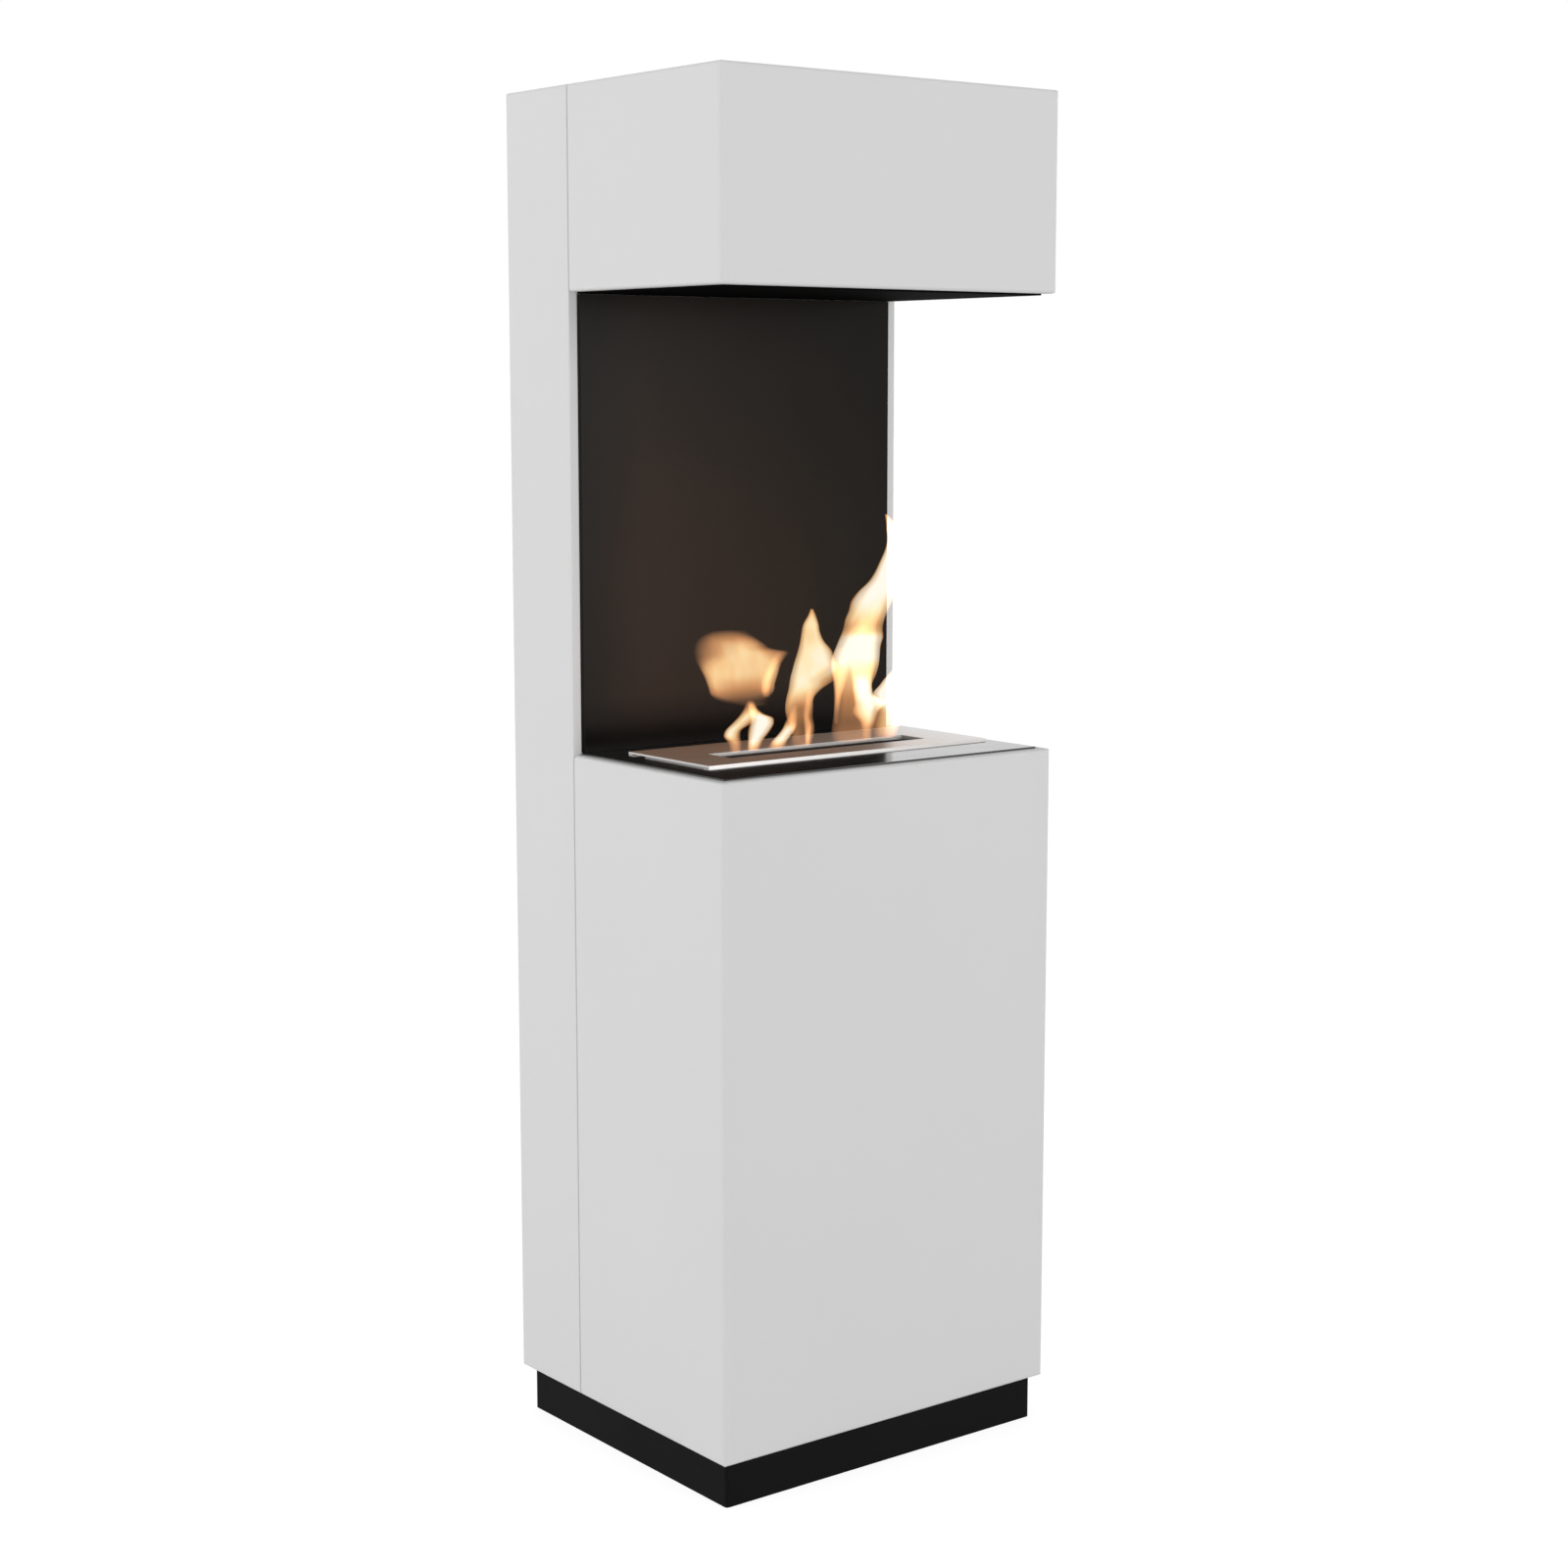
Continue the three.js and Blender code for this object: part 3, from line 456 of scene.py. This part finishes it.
# Flames, in mm. Each is a list of levels from its foot up: height above the cover plate,
# left edge, hottest place, right edge, softness, hollowness, peak
TALL_TONGUE = [
    (0, 24, 46, 66, 0.50, 0.00, 0.16),
    (8, 23, 46, 66, 0.30, 0.00, 0.15),
    (16, 24, 46, 67, 0.30, 0.00, 0.12),
    (24, 25, 48, 68, 0.30, 0.00, 0.16),
    (32, 24, 50, 68, 0.30, 0.00, 0.22),
    (40, 23, 50, 64, 0.25, 0.00, 0.30),
    (48, 22, 50, 63.5, 0.22, 0.00, 0.46),
    (56, 21, 50, 68, 0.20, 0.00, 0.60),
    (64, 20, 50, 71.5, 0.18, 0.00, 0.85),
    (72, 22, 52, 74, 0.18, 0.00, 1.10),
    (80, 28, 54, 77, 0.20, 0.00, 1.12),
    (88, 33, 58, 81, 0.25, 0.00, 1.00),
    (94, 36, 58, 80, 0.22, 0.00, 0.55),
    (98, 37, 58, 80, 0.20, 0.00, 0.44),
    (104, 37.5, 60, 81, 0.22, 0.00, 0.60),
    (112, 40, 62, 84, 0.25, 0.00, 0.78),
    (120, 41.5, 66, 88, 0.30, 0.00, 0.88),
    (128, 49, 71, 93, 0.36, 0.00, 0.95),
    (136, 63, 80, 95, 0.42, 0.00, 1.05),
    (144, 72, 84, 96, 0.42, 0.00, 1.05),
    (152, 77, 87, 96, 0.42, 0.00, 1.10),
    (160, 80.5, 89, 96, 0.42, 0.00, 1.10),
    (172, 82, 90, 96, 0.42, 0.00, 1.10),
    (180, 80, 86, 93, 0.45, 0.00, 1.00),
    (187, 79, 82, 88, 0.60, 0.00, 0.70),
    (193, 77.5, 79, 80.5, 0.70, 0.00, 0.30),
]
TALL_CORE = [
    (0, 55, 62, 68, 0.80, 0.00, 0.15),
    (8, 55, 61, 69, 0.80, 0.00, 0.28),
    (16, 52, 62, 70, 0.70, 0.00, 0.66),
    (24, 44, 62, 73, 0.65, 0.00, 0.82),
    (32, 45, 62, 80, 0.40, 0.00, 0.92),
    (38, 44, 58, 67, 0.36, 0.00, 0.98),
    (44, 43, 57, 64.5, 0.35, 0.00, 0.98),
    (52, 43, 57, 65.5, 0.38, 0.00, 0.92),
    (60, 42, 58, 69, 0.40, 0.00, 0.55),
    (70, 40, 58, 73, 0.40, 0.00, 0.18),
    (80, 40, 58, 75, 0.40, 0.00, 0.10),
    (88, 43, 59, 75, 0.50, 0.00, 0.18),
    (96, 45, 60, 72, 0.60, 0.00, 0.42),
    (104, 50, 62, 74, 0.70, 0.00, 0.20),
    (112, 56, 66, 77, 0.80, 0.00, 0.06),
    (118, 62, 69, 78, 0.80, 0.00, 0.02),
]
TALL_LIMB = [
    (16, 25, 27.5, 31, 0.70, 0.00, 0.04),
    (26, 24.5, 27, 31, 0.60, 0.00, 0.10),
    (34, 24, 27, 31, 0.60, 0.00, 0.28),
    (40, 23.5, 27, 31.5, 0.60, 0.00, 0.42),
    (48, 22.5, 27.5, 34, 0.60, 0.00, 0.55),
    (56, 21.5, 28, 37, 0.60, 0.00, 0.58),
    (64, 20.5, 28, 40, 0.60, 0.00, 0.32),
    (72, 22, 30, 42, 0.70, 0.00, 0.10),
    (80, 28, 35, 44, 0.80, 0.00, 0.08),
]
WING_TONGUE = [
    (0, 68, 84, 95, 0.80, 0.00, 0.22),
    (8, 67, 86, 97, 0.80, 0.20, 0.75),
    (16, 67, 88, 98, 0.85, 0.20, 0.90),
    (24, 69, 88, 98, 0.85, 0.10, 0.98),
    (32, 68, 85, 98, 0.45, 0.00, 1.02),
    (40, 68, 84, 97, 0.35, 0.00, 1.05),
    (45, 76, 87, 96, 0.40, 0.00, 1.00),
    (50, 82, 89, 95, 0.50, 0.00, 0.90),
    (55, 88, 91, 94, 0.60, 0.00, 0.50),
    (58, 91, 92, 93, 0.70, 0.00, 0.20),
]
MIDDLE_TONGUE = [
    (0, -23, -8, 0, 0.60, 0.40, 0.20),
    (8, -21, -8, 2, 0.25, 0.60, 0.28),
    (16, -22, -8, 3, 0.25, 0.60, 0.26),
    (24, -25.5, -12, 2, 0.22, 0.40, 0.28),
    (32, -26, -12, 3.5, 0.20, 0.60, 0.50),
    (40, -24.5, -12, 5, 0.20, 0.20, 0.62),
    (48, -22.5, -12, 15, 0.35, 0.00, 0.76),
    (54, -22, -15, 27, 0.60, 0.00, 0.84),
    (60, -21.5, -13, 31, 0.45, 0.00, 0.83),
    (66, -20.5, -8, 29, 0.25, 0.00, 0.81),
    (72, -19.5, -4, 23, 0.22, 0.00, 0.81),
    (80, -17, -4, 19, 0.25, 0.00, 0.80),
    (88, -14, -3, 11.5, 0.25, 0.00, 0.79),
    (96, -11, -1, 8.5, 0.25, 0.00, 0.78),
    (103, -7.5, 0.5, 8.5, 0.30, 0.00, 0.76),
    (110, -1.5, 2.5, 7, 0.60, 0.00, 0.55),
    (115, 1, 2.5, 4.5, 0.70, 0.00, 0.20),
]
MIDDLE_LIMB = [
    (0, -7, -4.5, -1, 0.80, 0.00, 0.25),
    (8, -7, -4, 0, 0.70, 0.00, 0.50),
    (16, -7, -2.5, 2, 0.70, 0.00, 0.42),
    (24, -7, -3.5, 0.5, 0.70, 0.00, 0.32),
    (32, -6, -1.5, 2.5, 0.70, 0.00, 0.22),
    (40, -5, 0, 4.5, 0.70, 0.00, 0.22),
    (46, -4, 1, 6, 0.80, 0.00, 0.05),
]
FRONT_TONGUE = [
    (0, -47, -38, -28, 0.80, 0.00, 0.30),
    (6, -43, -35, -26, 0.50, 0.00, 0.88),
    (10, -38, -31, -22, 0.50, 0.00, 0.95),
    (16, -31.5, -25, -17, 0.50, 0.00, 0.85),
    (21, -28, -22, -15, 0.60, 0.00, 0.38),
    (28, -22, -18, -13, 0.70, 0.00, 0.16),
    (34, -18, -15, -12, 0.70, 0.00, 0.05),
]
LOW_LEFT_TONGUE = [
    (0, -86, -81, -74, 0.90, 0.00, 0.22),
    (8, -88, -80.5, -74, 0.80, 0.00, 0.42),
    (14, -92, -86, -75, 0.60, 0.00, 0.82),
    (18, -91, -84, -74, 0.60, 0.00, 0.88),
    (24, -85, -78, -63, 0.70, 0.00, 0.88),
    (30, -79, -70, -61, 0.60, 0.00, 0.88),
    (36, -74, -67, -60, 0.70, 0.00, 0.45),
    (42, -70, -66, -62, 0.80, 0.00, 0.08),
]
LOW_RIGHT_TONGUE = [
    (0, -68, -63, -55, 0.70, 0.00, 0.35),
    (8, -67.5, -62, -51.5, 0.60, 0.00, 1.00),
    (16, -68, -56, -45, 0.50, 0.00, 1.05),
    (23, -67, -54, -42, 0.45, 0.00, 1.05),
    (27, -67, -56, -44, 0.50, 0.00, 0.98),
    (30, -68, -61, -52, 0.50, 0.00, 0.80),
    (35, -69, -65, -59, 0.60, 0.00, 0.50),
    (40, -69, -66, -62, 0.80, 0.00, 0.12),
]
PUFF_TONGUE = [
    (38, -76, -62, -50, 0.90, 0.00, 0.03),
    (44, -100, -74, -47, 0.50, 0.00, 0.06),
    (48, -106, -74, -43.5, 0.20, 0.30, 0.20),
    (56, -110, -75, -41.5, 0.12, 0.42, 0.58),
    (64, -113.5, -75, -38, 0.14, 0.06, 0.64),
    (72, -118, -76, -34, 0.20, 0.00, 0.65),
    (77, -121, -76, -29, 0.42, 0.00, 0.67),
    (81, -122.5, -74, -26, 0.65, 0.00, 0.68),
    (85, -123, -74, -44, 0.75, 0.00, 0.66),
    (89, -122, -74, -50, 0.75, 0.00, 0.58),
    (93, -119, -78, -56, 0.60, 0.00, 0.34),
    (97, -114, -86, -62, 0.60, 0.00, 0.16),
    (101, -106, -88, -68, 0.80, 0.00, 0.03),
]
PUFF_LIMB = [
    (44, -51, -48, -43, 0.80, 0.00, 0.05),
    (49, -52, -47.5, -42, 0.70, 0.00, 0.30),
    (56, -51, -45.5, -40, 0.70, 0.00, 0.36),
    (64, -48, -42, -37, 0.70, 0.00, 0.34),
    (71, -45, -39.5, -33.5, 0.80, 0.00, 0.26),
    (78, -42, -37, -28, 0.80, 0.00, 0.16),
    (82, -39, -35, -26, 0.80, 0.00, 0.04),
]
FLAMES = {
    "flame_tall": TALL_TONGUE,
    "flame_tall_core": TALL_CORE,
    "flame_tall_limb": TALL_LIMB,
    "flame_wing": WING_TONGUE,
    "flame_middle": MIDDLE_TONGUE,
    "flame_middle_limb": MIDDLE_LIMB,
    "flame_front": FRONT_TONGUE,
    "flame_low_left": LOW_LEFT_TONGUE,
    "flame_low_right": LOW_RIGHT_TONGUE,
    "flame_puff": PUFF_TONGUE,
    "flame_puff_limb": PUFF_LIMB,
}
FLAME_LEVELS = 72
FLAME_SIDES = 36
FLAME_DEPTH_Y = -42.0
FLAME_FOOT = 0.3
FLAME_FLATNESS = 0.30
FLAME_THICKEST = 8.0
FLAME_THINNEST = 0.2
FLAME_SWAY = 3.0
FLAME_SWAY_LENGTH = 90.0
FLAME_SWAY_START = 30.0
FLAME_SWAY_SHIFT = 0.05
FLAME_EDGE_POWER = 1.25
LEAST_REACH = 0.5
LEAST_SOFTNESS = 0.05
HOLLOW_WIDTH = 1.6


def smooth_levels(rows, count):
    """Rows at even heights on a cubic curve through the given ones."""
    rows = np.array(rows, float)
    heights = rows[:, 0]
    slopes = np.gradient(rows, heights, axis=0)
    wanted = np.linspace(heights[0], heights[-1], count)
    index = np.clip(np.searchsorted(heights, wanted) - 1, 0, len(rows) - 2)
    span = (heights[index + 1] - heights[index])[:, None]
    t = (wanted - heights[index])[:, None] / span
    start_slope, end_slope = span * slopes[index], span * slopes[index + 1]
    start = (2 * t**3 - 3 * t**2 + 1) * rows[index] + (t**3 - 2 * t**2 + t) * start_slope
    end = (-2 * t**3 + 3 * t**2) * rows[index + 1] + (t**3 - t**2) * end_slope
    return start + end


def flame_warmth(x, left, hottest, right, softness, hollow, peak):
    """The peak at the hottest line and 0 at the edges. A hollow flame is cooler in its middle."""
    reach = np.where(x < hottest, hottest - left, right - hottest)
    inward = np.clip(1.0 - np.abs(x - hottest) / np.maximum(reach, LEAST_REACH), 0.0, 1.0)
    warmth = np.clip(inward / max(softness, LEAST_SOFTNESS), 0.0, 1.0)
    middle = 1.0 - np.abs(2.0 * (x - left) / max(right - left, LEAST_REACH) - 1.0)
    hollowed = 1.0 - hollow * np.clip(HOLLOW_WIDTH * middle, 0.0, 1.0)
    return peak * warmth**FLAME_EDGE_POWER * hollowed


def flame_points(rows, top):
    """Rings of points up the flame, then one point at each end, with the warmth at each point."""
    angles = np.linspace(0.0, 2.0 * math.pi, FLAME_SIDES, endpoint=False)
    points, warmths = [], []
    for height, left, hottest, right, softness, hollow, peak in smooth_levels(rows, FLAME_LEVELS):
        half = max((right - left) / 2.0, FLAME_THINNEST)
        deep = min(half * FLAME_FLATNESS, FLAME_THICKEST)
        phase = 2.0 * math.pi * height / FLAME_SWAY_LENGTH + left * FLAME_SWAY_SHIFT
        sway = FLAME_SWAY * math.sin(phase) * min(height / FLAME_SWAY_START, 1.0)
        x = (left + right) / 2.0 + half * np.cos(angles)
        y = FLAME_DEPTH_Y + sway + deep * np.sin(angles)
        z = np.full_like(x, top / MM + FLAME_FOOT + height)
        points.append(np.stack([x, y, z], axis=1))
        warmths.append(flame_warmth(x, left, hottest, right, softness, hollow, peak))
    ends = [points[0].mean(axis=0), points[-1].mean(axis=0)]
    end_warmths = [warmths[0].mean(), warmths[-1].mean()]
    return np.concatenate([*points, ends]) * MM, np.concatenate([*warmths, end_warmths])


def flame_faces():
    """The faces between the rings, then the fans that close both ends."""
    faces = []
    for level in range(FLAME_LEVELS - 1):
        low, high = level * FLAME_SIDES, (level + 1) * FLAME_SIDES
        for side in range(FLAME_SIDES):
            following = (side + 1) % FLAME_SIDES
            faces.append((low + side, low + following, high + following, high + side))
    last = (FLAME_LEVELS - 1) * FLAME_SIDES
    foot = FLAME_LEVELS * FLAME_SIDES
    tip = foot + 1
    for side in range(FLAME_SIDES):
        following = (side + 1) % FLAME_SIDES
        faces.append((foot, following, side))
        faces.append((tip, last + side, last + following))
    return faces


def make_flame(name, rows, material, top):
    points, warmths = flame_points(rows, top)
    mesh = bpy.data.meshes.new(name)
    mesh.from_pydata([tuple(point) for point in points], [], flame_faces())
    attribute = mesh.attributes.new("warmth", "FLOAT", "POINT")
    attribute.data.foreach_set("value", warmths.astype(np.float32))
    mesh.polygons.foreach_set("use_smooth", [True] * len(mesh.polygons))
    mesh.materials.append(material)
    flame = bpy.data.objects.new(name, mesh)
    scene.collection.objects.link(flame)
    flame.visible_glossy = False
    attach(flame, "burner_cover_plate")


# The photograph's hearth mirrors neither the cover nor the flames
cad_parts["burner_cover_plate"].visible_glossy = False
_, cover_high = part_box("burner_cover_plate")
gas = flame_gas("burning gas")
for flame_name, flame_rows in FLAMES.items():
    make_flame(flame_name, flame_rows, gas, cover_high.z)


# Floor, world, lamps and camera

def make_floor():
    mesh = bpy.data.meshes.new("floor")
    reach = FLOOR_REACH
    corners = [(-reach, -reach, 0), (reach, -reach, 0), (reach, reach, 0), (-reach, reach, 0)]
    mesh.from_pydata(corners, [], [(0, 1, 2, 3)])
    floor = bpy.data.objects.new("floor", mesh)
    scene.collection.objects.link(floor)
    material, tree = new_material("pale floor")
    glow = add(tree, "ShaderNodeEmission")
    feed(tree, glow, Strength=FLOOR_GLOW)
    matt = add(tree, "ShaderNodeBsdfDiffuse")
    feed(tree, matt, Color=(*FLOOR_COLOUR, 1.0))
    share = product(tree, background_rays(tree), FLOOR_GLOW_SHARE)
    put_out(tree, mix_shaders(tree, share, matt, glow))
    mesh.materials.append(material)


def make_world():
    world = bpy.data.worlds.new("studio")
    scene.world = world
    world.use_nodes = True
    tree = world.node_tree
    tree.nodes.clear()
    lit = add(tree, "ShaderNodeBackground")
    feed(tree, lit, Strength=WORLD_LIGHT)
    shown = add(tree, "ShaderNodeBackground")
    feed(tree, shown, Color=(1.0, 1.0, 1.0, 1.0))
    put_out(tree, mix_shaders(tree, background_rays(tree), lit, shown), "ShaderNodeOutputWorld")


def make_softbox(name, place, power):
    data = bpy.data.lights.new(name, "AREA")
    data.shape = "SQUARE"
    data.size = SOFTBOX_SIZE
    data.energy = power
    lamp = bpy.data.objects.new(name, data)
    scene.collection.objects.link(lamp)
    lamp.location = place
    towards = Vector(SOFTBOX_TARGET) - Vector(place)
    lamp.rotation_euler = towards.to_track_quat("-Z", "Y").to_euler()


def make_camera():
    data = bpy.data.cameras.new("camera")
    data.lens = FOCAL_LENGTH
    data.sensor_width = SENSOR
    data.clip_end = CAMERA_REACH
    camera = bpy.data.objects.new("camera", data)
    scene.collection.objects.link(camera)
    camera.location = CAMERA_PLACE
    tilt = math.radians(90.0 - CAMERA_PITCH)
    camera.rotation_euler = Euler((tilt, 0.0, -math.radians(CAMERA_YAW)))
    scene.camera = camera


make_floor()
make_world()
make_softbox("left_softbox", *LEFT_SOFTBOX)
make_softbox("front_softbox", *FRONT_SOFTBOX)
make_camera()
